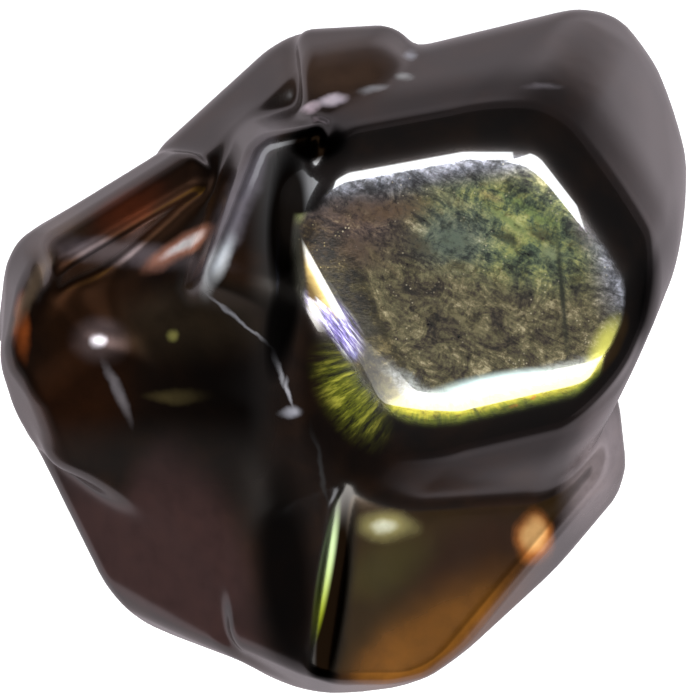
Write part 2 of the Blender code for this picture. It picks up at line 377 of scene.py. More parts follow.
def stone_mesh(crystals):
    """A fine mesh of the stone in millimetres, twice as fine where it faces up."""
    bm = bmesh.new()
    bmesh.ops.create_icosphere(bm, subdivisions=SPHERE_SPLITS, radius=1.0)
    rays = read_points(bm)
    rays /= np.linalg.norm(rays, axis=1, keepdims=True)
    points = spread_evenly(surface_points(rays, crystals), read_edges(bm), crystals)
    write_points(bm, points)
    bm.normal_update()
    upward = [f for f in bm.faces if f.normal.z > FINE_RISE and f.calc_center_median().z > FINE_ABOVE]
    fine = list({e for f in upward for e in f.edges})
    bmesh.ops.subdivide_edges(bm, edges=fine, cuts=1, use_grid_fill=True)
    bmesh.ops.triangulate(bm, faces=[f for f in bm.faces if len(f.verts) > 3])
    bm.verts.index_update()
    write_points(bm, pull_to_surface(read_points(bm), crystals, LAST_PULL_STEPS))
    return bm


# Node helpers

# Half length upright that makes a turned oval a column
COLUMN = 1.0e6


class Weaver:
    """Short calls that add nodes to one material."""

    def __init__(self, material):
        self.nodes = material.node_tree.nodes
        self.links = material.node_tree.links

    def feed(self, socket, value):
        if isinstance(value, bpy.types.NodeSocket):
            self.links.new(value, socket)
        else:
            socket.default_value = value

    def math(self, kind, first, second=0.0):
        node = self.nodes.new("ShaderNodeMath")
        node.operation = kind
        self.feed(node.inputs[0], first)
        self.feed(node.inputs[1], second)
        return node.outputs["Value"]

    def vector(self, kind, first, second=(0.0, 0.0, 0.0)):
        node = self.nodes.new("ShaderNodeVectorMath")
        node.operation = kind
        self.feed(node.inputs[0], first)
        self.feed(node.inputs[1], second)
        return node.outputs["Value" if kind in ("DOT_PRODUCT", "LENGTH") else "Vector"]

    def dot(self, place, way):
        """How far a place or an arrow reaches along a way."""
        return self.vector("DOT_PRODUCT", place, way)

    def both(self, first, second):
        return self.math("MULTIPLY", first, second)

    def rest(self, share):
        """What a share leaves of one."""
        return self.math("SUBTRACT", 1.0, share)

    def step(self, value, start, end, low=0.0, high=1.0):
        """Smooth step of a value, low at start and high at end."""
        node = self.nodes.new("ShaderNodeMapRange")
        node.interpolation_type = "SMOOTHSTEP"
        node.inputs["From Min"].default_value = start
        node.inputs["From Max"].default_value = end
        node.inputs["To Min"].default_value = low
        node.inputs["To Max"].default_value = high
        self.links.new(value, node.inputs["Value"])
        return node.outputs["Result"]

    def noise(self, place, scale, detail=3.0, rough=0.55, warp=0.0, output="Fac"):
        node = self.nodes.new("ShaderNodeTexNoise")
        node.inputs["Scale"].default_value = scale
        node.inputs["Detail"].default_value = detail
        node.inputs["Roughness"].default_value = rough
        node.inputs["Distortion"].default_value = warp
        self.links.new(place, node.inputs["Vector"])
        return node.outputs[output]

    def cells(self, place, scale, output):
        node = self.nodes.new("ShaderNodeTexVoronoi")
        node.inputs["Scale"].default_value = scale
        self.links.new(place, node.inputs["Vector"])
        return node.outputs[output]

    def ramp(self, value, stops):
        node = self.nodes.new("ShaderNodeValToRGB")
        marks = node.color_ramp.elements
        for _ in stops[2:]:
            marks.new(1.0)
        for mark, (spot, colour) in zip(marks, stops):
            mark.position = spot
            mark.color = (*colour, 1.0)
        self.links.new(value, node.inputs["Fac"])
        return node.outputs["Color"]

    def mix(self, share, first, second, kind="MIX"):
        node = self.nodes.new("ShaderNodeMix")
        node.data_type = "RGBA"
        node.blend_type = kind
        self.feed(node.inputs[0], share)
        for socket, colour in ((node.inputs[6], first), (node.inputs[7], second)):
            self.feed(socket, (*colour, 1.0) if isinstance(colour, tuple) else colour)
        return node.outputs[2]

    def blend(self, share, first, second):
        """A number between two numbers or outputs."""
        node = self.nodes.new("ShaderNodeMix")
        self.feed(node.inputs[0], share)
        self.feed(node.inputs[2], first)
        self.feed(node.inputs[3], second)
        return node.outputs[0]

    def turned(self, place, x, y, half_x, half_y, turn):
        """Place in units of an oval's half lengths, from its middle and along its axes."""
        node = self.nodes.new("ShaderNodeMapping")
        node.vector_type = "TEXTURE"
        node.inputs["Location"].default_value = (x, y, 0.0)
        node.inputs["Rotation"].default_value = (0.0, 0.0, math.radians(turn))
        node.inputs["Scale"].default_value = (half_x, half_y, COLUMN)
        self.links.new(place, node.inputs["Vector"])
        return node.outputs["Vector"]

    def oval(self, place, x, y, half_x, half_y, turn=0.0, soft=0.4):
        """One inside an upright oval column, nothing outside, with a soft edge."""
        c, s = math.cos(math.radians(turn)), math.sin(math.radians(turn))
        long_way = self.dot(place, (c / half_x, s / half_x, 0.0))
        short_way = self.dot(place, (-s / half_y, c / half_y, 0.0))
        along = self.math("SUBTRACT", long_way, (c * x + s * y) / half_x)
        across = self.math("SUBTRACT", short_way, (c * y - s * x) / half_y)
        reach = self.math("ADD", self.both(along, along), self.both(across, across))
        return self.step(self.math("SQRT", reach), 1.0 - soft, 1.0 + soft, 1.0, 0.0)


# Colours and gloss of the stone

# How strongly andradite bends light
GARNET_IOR = 1.88

# Metal and roughness of the flakes in the main face, roughness of the gloss over them
FLAKE_METAL = 0.72
FLAKE_ROUGHNESS = 0.31
GLOSS_ROUGHNESS = 0.035

# Roughness of the body, and of its duller upper left part
BODY_ROUGHNESS = 0.20
DULL_ROUGHNESS = 0.45

# How far the dull part, the front crystal and the main crystal's flanks give up white highlights
DULL_TINTED = 0.975
FRONT_TINTED = 0.60
FLANKS_TINTED = 0.62

# Dark body and its warm clouds; the large left face's grey-purple sheen, a painted reflection; the large
# front face; near-black for flanks kept dark, a painted shade
BODY = (0.0085, 0.0040, 0.0022)
BODY_WARM = (0.018, 0.0075, 0.0030)
LEFT_FACE_SHEEN = (0.037, 0.0175, 0.0160)
FRONT_FACE = (0.042, 0.0200, 0.0028)
# Near-black paint for the painted shade on flanks
SHADE_BLACK = (0.0015, 0.0008, 0.0004)

# Single places on the main face: middle x and y, half length, half width, turn, softness
GREEN_ZONE = (3.6, 2.6, 1.9, 1.0, -18, 0.6)
TEAL_ZONE = (2.4, 2.45, 0.8, 0.6, 0, 0.7)
PURPLE_ZONE = (-0.1, 2.7, 1.5, 0.85, 10, 0.6)
SLATE_ZONE = (6.15, 2.0, 0.75, 2.1, 12, 0.5)
# Where the painted sparkle glints are brightest
SPARK_GLINT_ZONE = (-0.25, 2.35, 0.85, 0.75, 0, 0.6)
WEDGE_TIP = (-0.92, 3.20, 0.38, 0.16, 80, 0.7)
WEDGE_SHADOW = (-1.00, 1.50, 1.30, 0.14, 92, 0.5)
VIOLET_ZONE = (-0.26, 0.50, 0.72, 0.38, -50, 0.5)
# Painted highlights: a cyan flash and a yellow spot
CYAN_HIGHLIGHT = (3.25, -0.72, 0.95, 0.16, 10, 0.7)
YELLOW_HIGHLIGHT = (5.66, 0.12, 0.46, 0.20, 62, 0.9)
CRACK = (4.73, 1.20, 1.08, 0.055, 95, 0.8)
MOSS_CORNER = (0.16, -0.98, 0.95, 0.50, 120, 0.6)

# Single places on the other crystals: the left one's large face, where its painted reflection goes, and the
# glint down the front one's left edge
LEFT_SHEEN_AREA = (-4.1, -4.9, 3.5, 1.95, 112, 0.25)
GLINT_LINE = (-0.38, -4.84, 1.22, 0.13, 80, 0.5)

# Soft patches, many of them painted glints, painted reflections and painted glow of light through the
# stone: middle x and y, half length, half width, turn, softness, colour
PATCHES_AND_GLINTS = [
    # Front crystal: dark brown middle, amber foot and orange window painted as glow of light through the
    # stone, a greenish-gold halo of the painted pale glint, a painted reflection on the grey right flank,
    # the painted pale glint
    (3.0, -4.6, 1.5, 0.9, 30, 0.5, (0.036, 0.012, 0.003)),
    (2.05, -6.35, 1.95, 0.80, 36, 0.7, (0.185, 0.068, 0.007)),
    (1.15, -6.75, 0.75, 0.45, 40, 0.8, (0.28, 0.105, 0.012)),
    (2.45, -5.95, 0.85, 0.36, 38, 0.8, (0.24, 0.090, 0.010)),
    (0.95, -4.75, 0.90, 0.50, 30, 0.7, (0.060, 0.043, 0.008)),
    (5.60, -2.60, 0.55, 1.2, -18, 0.6, (0.25, 0.205, 0.215)),
    (4.18, -4.12, 0.36, 0.50, 0, 0.5, (0.62, 0.20, 0.04)),
    (4.18, -4.05, 0.25, 0.36, 0, 0.5, (1.0, 0.56, 0.21)),
    (0.95, -3.86, 0.50, 0.24, 0, 0.8, (0.50, 0.44, 0.17)),
    (0.92, -3.88, 0.22, 0.13, 0, 0.8, (1.0, 1.0, 0.75)),
    # Left knob: amber brown, orange sparks, a painted grey reflection on its upper left rim, a painted grey
    # glint, a painted star glint with its halo
    (-5.6, 0.60, 1.2, 1.2, 0, 0.6, (0.014, 0.0045, 0.0010)),
    (-5.9, -1.2, 1.1, 0.9, 20, 0.7, (0.027, 0.0085, 0.0025)),
    (-7.05, 0.50, 0.14, 0.55, 0, 0.8, (0.30, 0.070, 0.014)),
    (-6.75, 1.40, 0.80, 0.14, 62, 0.8, (0.16, 0.11, 0.07)),
    (-4.95, -0.90, 0.55, 0.10, -68, 0.8, (0.22, 0.20, 0.22)),
    (-5.33, 0.20, 0.42, 0.36, 0, 0.9, (0.085, 0.060, 0.060)),
    (-5.35, 0.18, 0.14, 0.11, 0, 0.9, (0.72, 0.68, 0.76)),
    # Back left crystal: red amber glow painted as light through the stone, a brown patch, a painted grey
    # reflection band, a painted pink glint at its right end
    (-5.0, 2.85, 1.5, 0.60, 30, 0.8, (0.030, 0.0120, 0.0065)),
    (-4.7, 3.12, 0.7, 0.30, 28, 0.8, (0.095, 0.021, 0.0070)),
    (-6.2, 2.55, 0.7, 0.35, 35, 0.7, (0.070, 0.040, 0.024)),
    (-4.8, 2.10, 1.6, 0.22, -7, 0.8, (0.105, 0.082, 0.088)),
    (-3.55, 2.20, 0.62, 0.18, 32, 0.8, (0.66, 0.28, 0.18)),
    (-3.50, 2.24, 0.42, 0.10, 32, 0.7, (1.0, 0.90, 0.88)),
    # Back crystal and bud: warm brown, painted lilac and grey glints
    (0.0, 6.1, 1.2, 0.8, 0, 0.7, (0.042, 0.022, 0.013)),
    (-0.68, 5.25, 0.20, 0.10, 20, 0.7, (0.62, 0.50, 0.56)),
    (-0.22, 5.40, 0.26, 0.12, 15, 0.7, (0.72, 0.62, 0.70)),
    (0.65, 5.65, 0.24, 0.08, 10, 0.8, (0.24, 0.23, 0.24)),
    (1.36, 5.92, 0.16, 0.08, 0, 0.8, (0.26, 0.26, 0.26)),
    (1.47, 6.45, 0.14, 0.10, 0, 0.8, (0.26, 0.26, 0.29)),
    (4.33, 5.72, 0.30, 0.06, 5, 0.9, (0.13, 0.12, 0.13)),
    # Saddle: a painted grey reflection on the shelf with its painted glint, a dark patch, a pale yellow
    # spot, a painted olive highlight, painted glints along fine light lines and on etched spots, a dark
    # line, a bluish mark
    (-2.30, 3.1, 1.5, 0.28, 66, 0.7, (0.130, 0.115, 0.132)),
    (-2.73, 1.80, 0.56, 0.16, 68, 0.8, (0.55, 0.57, 0.60)),
    (-3.1, 0.55, 1.4, 0.7, 0, 0.7, (0.032, 0.021, 0.012)),
    (-3.70, 0.30, 0.12, 0.10, 0, 0.8, (0.35, 0.33, 0.10)),
    (-3.62, -1.03, 0.50, 0.13, 0, 0.8, (0.12, 0.092, 0.036)),
    (-2.22, 0.60, 0.62, 0.035, -41, 0.9, (0.45, 0.45, 0.50)),
    (-1.39, -0.42, 0.32, 0.05, -68, 0.8, (0.60, 0.60, 0.66)),
    (-1.15, -0.95, 0.24, 0.04, -80, 0.8, (0.50, 0.50, 0.56)),
    (-1.12, -1.38, 0.20, 0.10, 0, 0.8, (0.45, 0.45, 0.52)),
    (-0.50, -2.55, 0.60, 0.04, -80, 0.9, (0.03, 0.028, 0.028)),
    (-1.42, 1.86, 0.04, 0.50, 0, 0.9, (0.10, 0.11, 0.18)),
]

# Painted shade: flanks painted near-black, which hides their highlights and reflections: middle x and y,
# half length, half width, turn, softness, strength
PAINTED_SHADE_FLANKS = [
    (-1.20, 2.75, 1.70, 0.50, 86, 0.40, 0.99),
    (-0.55, 4.48, 0.75, 0.50, 15, 0.4, 1.0),
    (-1.30, 0.75, 1.50, 0.38, 78, 0.5, 0.90),
    (6.85, 1.10, 1.70, 0.50, 80, 0.5, 0.93),
    (-0.24, -5.6, 2.70, 0.36, 82, 0.4, 1.0),
    (-1.25, -5.0, 2.20, 0.58, 95, 0.5, 0.72),
    (-2.7, -0.9, 1.50, 0.85, -30, 0.7, 0.70),
]

# Marks on the main face: middle x and y, half length, half width, turn, colour
STAINS = [
    (0.04, 3.06, 0.75, 0.24, 8, (0.110, 0.070, 0.052)),
    (1.03, 2.98, 0.85, 0.22, 12, (0.125, 0.072, 0.040)),
    (0.35, 2.15, 0.55, 0.30, -30, (0.100, 0.064, 0.042)),
    (1.55, 2.30, 0.50, 0.16, -35, (0.060, 0.042, 0.026)),
    (2.31, 3.26, 0.52, 0.10, -22, (0.46, 0.44, 0.22)),
    (3.17, 3.28, 0.24, 0.08, -15, (0.60, 0.50, 0.20)),
    (4.05, 2.98, 0.62, 0.09, -30, (0.25, 0.34, 0.10)),
    (3.55, 2.75, 0.50, 0.07, -35, (0.27, 0.34, 0.12)),
    (3.56, 2.38, 0.27, 0.13, -30, (0.035, 0.026, 0.014)),
    (4.33, 2.46, 0.27, 0.14, -25, (0.040, 0.030, 0.016)),
    (4.49, 2.02, 0.30, 0.20, 0, (0.26, 0.30, 0.17)),
    (2.30, 2.35, 0.45, 0.36, 0, (0.105, 0.140, 0.105)),
    (2.29, 1.73, 0.55, 0.08, 12, (0.27, 0.25, 0.13)),
    (3.10, 1.45, 0.65, 0.07, -30, (0.22, 0.20, 0.10)),
    (1.40, 1.10, 0.70, 0.07, -40, (0.20, 0.17, 0.085)),
    (2.60, 0.60, 0.80, 0.08, -25, (0.21, 0.18, 0.09)),
    (0.85, 1.85, 0.40, 0.06, -40, (0.22, 0.17, 0.09)),
    (5.25, 2.66, 0.36, 0.40, 0, (0.130, 0.105, 0.130)),
    (0.38, 0.52, 0.36, 0.20, -20, (0.026, 0.024, 0.017)),
    (0.15, -0.14, 0.14, 0.10, 0, (0.10, 0.12, 0.30)),
    (1.40, -0.80, 0.55, 0.16, -40, (0.20, 0.22, 0.24)),
    (0.37, -1.06, 0.05, 0.05, 0, (0.55, 0.10, 0.02)),
    (3.67, -1.22, 0.06, 0.05, 0, (0.55, 0.10, 0.02)),
    (4.11, -1.10, 0.06, 0.05, 0, (0.55, 0.10, 0.02)),
    (5.43, -0.31, 0.06, 0.05, 0, (0.55, 0.10, 0.02)),
]

# Mottling of the main face from its dark pits to its bright flakes: olive, green, slate and purple zones
OLIVE = [
    (0.38, (0.022, 0.017, 0.013)), (0.45, (0.080, 0.060, 0.037)), (0.51, (0.140, 0.125, 0.063)),
    (0.57, (0.24, 0.20, 0.105)), (0.66, (0.60, 0.52, 0.32)),
]
GREEN = [
    (0.38, (0.018, 0.030, 0.022)), (0.46, (0.095, 0.135, 0.080)), (0.53, (0.24, 0.29, 0.115)),
    (0.59, (0.42, 0.44, 0.14)), (0.68, (0.70, 0.68, 0.32)),
]
SLATE = [
    (0.40, (0.035, 0.034, 0.040)), (0.50, (0.14, 0.14, 0.16)), (0.60, (0.36, 0.36, 0.42)),
    (0.70, (0.85, 0.85, 1.0)),
]
PURPLE = [
    (0.40, (0.022, 0.014, 0.016)), (0.50, (0.12, 0.080, 0.070)), (0.58, (0.26, 0.18, 0.12)),
    (0.66, (0.80, 0.66, 0.45)),
]

# Painted sparkle glints of the flakes
SPARK_GLINT = (1.0, 0.88, 0.62)

# Fine dirt that darkens the main face
GRIT = [(0.36, (0.36, 0.34, 0.32)), (0.47, (0.84, 0.83, 0.81)), (0.56, (1.0, 1.0, 1.0))]

# Violet streaks, and the golden wedge at the main face's left edge, a painted highlight
VIOLET = [
    (0.40, (0.02, 0.02, 0.04)), (0.50, (0.20, 0.16, 0.48)), (0.58, (0.70, 0.70, 0.85)),
    (0.68, (1.0, 0.98, 0.90)),
]
GOLD_HIGHLIGHT = [
    (0.10, (0.030, 0.018, 0.004)), (0.32, (0.13, 0.075, 0.014)), (0.48, (0.50, 0.36, 0.12)),
    (0.60, (1.0, 0.97, 0.90)),
]

# Yellow-green fibres of the main face's front left corner
MOSS = [(0.38, (0.010, 0.011, 0.002)), (0.52, (0.11, 0.12, 0.008)), (0.66, (0.42, 0.40, 0.05))]

# Faint clouding of the body
CLOUDING = [(0.30, (0.82, 0.81, 0.80)), (0.50, (1.0, 1.0, 1.0)), (0.70, (1.12, 1.10, 1.07))]

# Worn rim of the main face: the lean in degrees where it ends, and colours by share of that lean
RIM_END = 40.0
RIM = [
    (0.00, (0.17, 0.155, 0.11)), (0.12, (0.24, 0.25, 0.24)), (0.22, (0.34, 0.36, 0.34)),
    (0.36, (0.34, 0.33, 0.22)), (0.46, (0.42, 0.36, 0.07)), (0.57, (0.50, 0.45, 0.03)),
    (0.66, (0.17, 0.20, 0.010)), (0.78, (0.035, 0.045, 0.004)), (0.92, (0.010, 0.008, 0.003)),
]

# How far, in degrees of lean, the fibres fray the rim
RAGGED_DEGREES = 13.0

# Fibres fan out from this point, so many around and so many to a millimetre outward
FAN_CENTRE = (2.0, 0.2, 11.0)
HAIRS_AROUND = 14.0
HAIRS_OUTWARD = 0.9

# Compass directions of the main face's flanks, its front left side and its wedge's edges
BACK_FLANK = 100.5
RIGHT_FLANK = 29
LEFT_FLANK = 204
FRONT_FLANK = 283
FRONT_LEFT = 243
WEDGE_LEFT = 184.6
WEDGE_FOOT = 240.3

# Ways the large faces of the left and front crystals look
LEFT_FACING = direction(207, 44)
FRONT_FACING = direction(-40, 22)


def flake_colour(w, place):
    """Mottled olive, gold, green and slate of the main face, with fine sparks painted as glints and a slate
    band painted as scattered lamp light along the back edge.
    """
    fine = w.noise(place, 11.0, 5.0, 0.75)
    mottle = w.noise(place, 1.3, 6.0, 0.68, 1.6)
    fibre = w.noise(w.turned(place, 0.0, 0.0, 1.2, 0.30, -28), 1.5, 5.0, 0.66, 1.4)
    value = w.math("ADD", w.both(mottle, 0.48), w.math("ADD", w.both(fibre, 0.26), w.both(fine, 0.26)))
    value = w.math("ADD", w.both(w.math("SUBTRACT", value, 0.5), 1.45), 0.5)
    olive, green = w.ramp(value, OLIVE), w.ramp(value, GREEN)
    slate, purple = w.ramp(value, SLATE), w.ramp(value, PURPLE)
    colour = w.mix(w.oval(place, *GREEN_ZONE), olive, green)
    colour = w.mix(w.oval(place, *TEAL_ZONE), colour, w.mix(0.5, slate, green))
    colour = w.mix(w.oval(place, *PURPLE_ZONE), colour, purple)
    colour = w.mix(w.oval(place, *SLATE_ZONE), colour, slate)
    # Painted reflection: a slate band along the back edge stands for the back lamp's light scattered in the
    # grain
    back = w.dot(place, direction(BACK_FLANK))
    colour = w.mix(w.step(back, 2.80, 3.35), colour, slate)
    # Painted glints: bright sparks in fine cells
    spark_glint = w.both(w.step(w.cells(place, 13.0, "Distance"), 0.12, 0.34, 1.0, 0.0),
                   w.step(w.cells(place, 13.0, "Color"), 0.62, 0.80))
    spark_glint = w.both(spark_glint, w.step(w.noise(place, 1.1, 3.0, 0.6), 0.46, 0.60))
    bright = w.step(w.oval(place, *SPARK_GLINT_ZONE), 0.0, 1.0, 0.45, 0.95)
    return w.mix(w.both(spark_glint, bright), colour, SPARK_GLINT), value


def wandering(w, place, scale, detail, rough, reach):
    """Place shifted level by a soft noise, so that outlines on it wander."""
    drift = w.vector("SUBTRACT", w.noise(place, scale, detail, rough, 0.0, "Color"), (0.5, 0.5, 0.5))
    return w.vector("ADD", place, w.vector("MULTIPLY", drift, (reach, reach, 0.0)))


def radial_hair(w, place):
    """Fibres that fan out from a point inside the main face."""
    away = w.vector("SUBTRACT", place, FAN_CENTRE)
    angle = w.math("ARCTAN2", w.dot(away, NORTH), w.dot(away, EAST))
    fan = w.nodes.new("ShaderNodeCombineXYZ")
    w.feed(fan.inputs[0], w.both(angle, HAIRS_AROUND))
    w.feed(fan.inputs[1], w.both(w.vector("LENGTH", away), HAIRS_OUTWARD))
    return w.noise(fan.outputs["Vector"], 1.0, 4.0, 0.7)


def main_face(w, place, normal):
    """Colour, share of flakes, share of gloss and the radial fibres of the main face."""
    tilt = w.both(w.math("ARCCOSINE", w.math("MINIMUM", w.dot(normal, UP), 1.0)), math.degrees(1.0))
    height = w.dot(place, UP)
    colour, value = flake_colour(w, place)
    hair = radial_hair(w, place)
    side = w.step(w.dot(place, direction(FRONT_LEFT)), -2.55, -1.95)
    ragged = w.math("ADD", tilt, w.both(w.math("SUBTRACT", hair, 0.5), RAGGED_DEGREES))
    rim = w.ramp(w.math("DIVIDE", ragged, RIM_END), RIM)
    rim = w.mix(0.30, rim, w.mix(hair, (0.02, 0.03, 0.0), rim))
    turn = w.vector("SUBTRACT", direction(LEFT_FLANK), direction(FRONT_FLANK))
    level = w.math("SINE", w.math("MAXIMUM", w.math("RADIANS", tilt), 0.01))
    left = w.step(w.math("DIVIDE", w.dot(normal, turn), level), 0.32, 0.60)
    worn = w.both(side, w.step(ragged, 1.0, 8.0))
    # Painted shade: the left bevel's colour is darkened so that it shows little of the lamps
    shaded_bevel = w.both(w.both(side, w.step(tilt, 0.3, 5.5)), left)
    colour = w.mix(w.both(worn, w.rest(left)), colour, rim)
    colour = w.mix(shaded_bevel, colour, (0.22, 0.20, 0.13), "MULTIPLY")
    colour = face_marks(w, place, colour, value)
    fade = w.math("SUBTRACT", tilt, w.both(side, 16.0))
    share = w.both(w.step(fade, 13.0, 20.0, 1.0, 0.0), w.step(height, 10.66, 10.78))
    gloss = w.both(w.step(height, 9.9, 10.6), w.rest(w.both(w.both(left, side), 0.9)))
    return colour, share, gloss, hair


def face_marks(w, place, colour, value):
    """Crack, golden wedge, violet streaks, cyan flash and yellow spots of the main face; the wedge, the
    flash and the spots are painted highlights.
    """
    loose = wandering(w, place, 2.6, 4.0, 0.6, 0.45)
    grain = w.step(value, 0.40, 0.62, 0.25, 1.0)
    for x, y, half_x, half_y, turn, tint in STAINS:
        stain = w.both(w.oval(loose, x, y, half_x, half_y, turn, 0.7), grain)
        colour = w.mix(stain, colour, tint)
    grit = w.ramp(w.noise(place, 3.6, 6.0, 0.72, 0.5), GRIT)
    colour = w.mix(1.0, colour, grit, "MULTIPLY")
    colour = w.mix(w.oval(place, *WEDGE_TIP), colour, (0.20, 0.22, 0.06))
    streak = w.noise(w.turned(place, 0.0, 0.0, 0.9, 0.09, -52), 1.0, 4.0, 0.7)
    colour = w.mix(w.oval(place, *VIOLET_ZONE), colour, w.ramp(streak, VIOLET))
    along = w.dot(place, direction(RIGHT_FLANK))
    fray = w.both(w.math("SUBTRACT", streak, 0.5), 0.9)
    foot = w.math("ADD", w.dot(place, direction(WEDGE_FOOT)), fray)
    colour = w.mix(w.oval(place, *WEDGE_SHADOW), colour, (0.016, 0.014, 0.005))
    # Painted highlight: the golden wedge, white at its core
    inner = w.step(along, 0.34, 0.40, 1.0, 0.0)
    outer = w.step(w.dot(place, direction(WEDGE_LEFT)), 0.60, 0.72, 1.0, 0.0)
    wedge_highlight = w.both(inner, w.both(outer, w.step(foot, -0.66, -0.54, 1.0, 0.0)))
    colour = w.mix(wedge_highlight, colour, w.ramp(w.math("ADD", along, 0.3), GOLD_HIGHLIGHT))
    # Painted highlights: cyan flash and yellow spot
    colour = w.mix(w.oval(place, *CYAN_HIGHLIGHT), colour, (0.75, 0.95, 0.95))
    colour = w.mix(w.oval(place, *YELLOW_HIGHLIGHT), colour, (0.75, 0.72, 0.14))
    return w.mix(w.both(w.oval(place, *CRACK), 0.85), colour, (0.012, 0.016, 0.010))


def body_colour(w, place, normal):
    """Dark brown body face by face, with its warm windows painted as glow of light through the stone, and
    painted reflections and glints.
    """
    cloud = w.noise(place, 0.55, 4.0, 0.55, 0.4)
    colour = w.mix(w.step(cloud, 0.42, 0.68), BODY, BODY_WARM)
    # Painted reflection: the large left face gets a grey-purple sheen as its colour
    left = w.step(w.dot(normal, LEFT_FACING), 0.93, 0.985)
    colour = w.mix(w.both(left, w.oval(place, *LEFT_SHEEN_AREA)), colour, LEFT_FACE_SHEEN)
    front = w.step(w.dot(normal, FRONT_FACING), 0.97, 0.996)
    colour = w.mix(front, colour, FRONT_FACE)
    up = w.step(w.dot(normal, UP), 0.0, 0.25)
    loose = wandering(w, place, 1.4, 3.0, 0.5, 0.28)
    # Patches, many of them painted glints, painted reflections and painted glow of light through the stone
    for x, y, half_x, half_y, turn, soft, tint in PATCHES_AND_GLINTS:
        spot = w.oval(loose, x, y, half_x, half_y, turn, soft)
        colour = w.mix(w.both(spot, up), colour, tint)
    return w.vector("MULTIPLY", colour, w.ramp(w.noise(place, 2.0, 4.0, 0.6), CLOUDING))


def flash(w, place):
    """Green and yellow glint down the left edge of the front crystal: share and colour."""
    line = w.oval(place, *GLINT_LINE)
    run = w.dot(place, NORTH)
    return line, w.mix(w.step(run, -5.9, -4.2), (0.085, 0.10, 0.006), (0.13, 0.17, 0.09))


def quiet_share(w, place, normal, shade_paint, dull, corner):
    """How far the body gives up white highlights for its own colour."""
    front = w.step(w.dot(normal, FRONT_FACING), 0.97, 0.996)
    faces = w.math("MAXIMUM", w.both(dull, DULL_TINTED), w.both(front, FRONT_TINTED))
    quiet = w.math("MAXIMUM", shade_paint, faces)
    ring = w.both(w.step(w.dot(place, UP), 8.7, 9.7), w.step(w.dot(place, EAST), -1.2, -0.7))
    quiet = w.math("MAXIMUM", quiet, w.both(ring, FLANKS_TINTED))
    return w.both(quiet, w.rest(corner))


def painted_shade_share(w, place):
    """How far a place lies on a flank painted near-black as painted shade."""
    shade_paint = 0.0
    for x, y, half_x, half_y, turn, soft, strength in PAINTED_SHADE_FLANKS:
        spot = w.both(w.oval(place, x, y, half_x, half_y, turn, soft), strength)
        shade_paint = w.math("MAXIMUM", shade_paint, spot)
    return w.both(shade_paint, w.step(w.dot(place, UP), 5.2, 6.8))


def garnet_material(middle):
    """Dark glassy body, and a layer of bright flakes under the gloss of the main face."""
    mat = bpy.data.materials.new("garnet_brown")
    mat.use_nodes = True
    w = Weaver(mat)
    shader = w.nodes["Principled BSDF"]
    source = w.nodes.new("ShaderNodeTexCoord")
    stone_mm = w.vector("MULTIPLY", source.outputs["Object"], (1 / MM, 1 / MM, 1 / MM))
    place = w.vector("ADD", stone_mm, (*middle, 0.0))
    normal = source.outputs["Normal"]
    face, share, gloss, hair = main_face(w, place, normal)
    body = body_colour(w, place, normal)
    shade_paint = painted_shade_share(w, place)
    line, green = flash(w, place)
    corner = w.oval(place, *MOSS_CORNER)
    # Painted shade: near-black over the listed flanks
    body = w.mix(line, w.mix(shade_paint, body, SHADE_BLACK), green)
    body = w.mix(corner, body, w.ramp(hair, MOSS))
    west = w.step(w.dot(place, WEST), 1.0, 2.2)
    north = w.step(w.dot(place, NORTH), -3.9, -1.3)
    dull = w.both(w.both(west, north), w.step(w.dot(normal, UP), 0.58, 0.78))
    quiet = quiet_share(w, place, normal, shade_paint, dull, corner)
    w.feed(shader.inputs["Base Color"], w.mix(share, body, face))
    w.feed(shader.inputs["Metallic"], w.blend(share, w.math("MAXIMUM", quiet, line), FLAKE_METAL))
    rough = w.blend(dull, BODY_ROUGHNESS, DULL_ROUGHNESS)
    w.feed(shader.inputs["Roughness"], w.blend(share, rough, FLAKE_ROUGHNESS))
    w.feed(shader.inputs["Coat Weight"], w.both(gloss, w.rest(shade_paint)))
    shader.inputs["Coat Roughness"].default_value = GLOSS_ROUGHNESS
    shader.inputs["Coat IOR"].default_value = GARNET_IOR
    shader.inputs["IOR"].default_value = GARNET_IOR
    relief = w.nodes.new("ShaderNodeBump")
    relief.inputs["Strength"].default_value = 0.35
    relief.inputs["Distance"].default_value = 0.00002
    grain = w.blend(share, w.noise(place, 0.9, 2.0, 0.4), w.noise(place, 13.0, 4.0, 0.7))
    w.feed(relief.inputs["Height"], grain)
    w.feed(shader.inputs["Normal"], relief.outputs["Normal"])
    return mat


# Placing

def add_stone(crystals):
    """The stone, its outline's box centred on the origin and its base on the floor."""
    bm = stone_mesh(crystals)
    cut = bmesh.ops.bisect_plane(
        bm, geom=bm.verts[:] + bm.edges[:] + bm.faces[:],
        plane_co=(0, 0, 0), plane_no=(0, 0, -1), clear_outer=True)
    rim = [e for e in cut["geom_cut"] if isinstance(e, bmesh.types.BMEdge)]
    bmesh.ops.holes_fill(bm, edges=rim)
    bmesh.ops.triangulate(bm, faces=[f for f in bm.faces if len(f.verts) > 3])
    points = read_points(bm)
    middle = (points[:, :2].min(axis=0) + points[:, :2].max(axis=0)) / 2
    points[:, :2] -= middle
    write_points(bm, points * MM)
    bmesh.ops.recalc_face_normals(bm, faces=bm.faces[:])
    for face in bm.faces:
        face.smooth = True
    mesh = bpy.data.meshes.new("garnet_stone")
    bm.to_mesh(mesh)
    bm.free()
    stone = bpy.data.objects.new("garnet_stone", mesh)
    bpy.context.scene.collection.objects.link(stone)
    mesh.materials.append(garnet_material(middle))
    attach(stone, "root")
    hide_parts("garnet")
    return middle


# Light table, lamps and camera

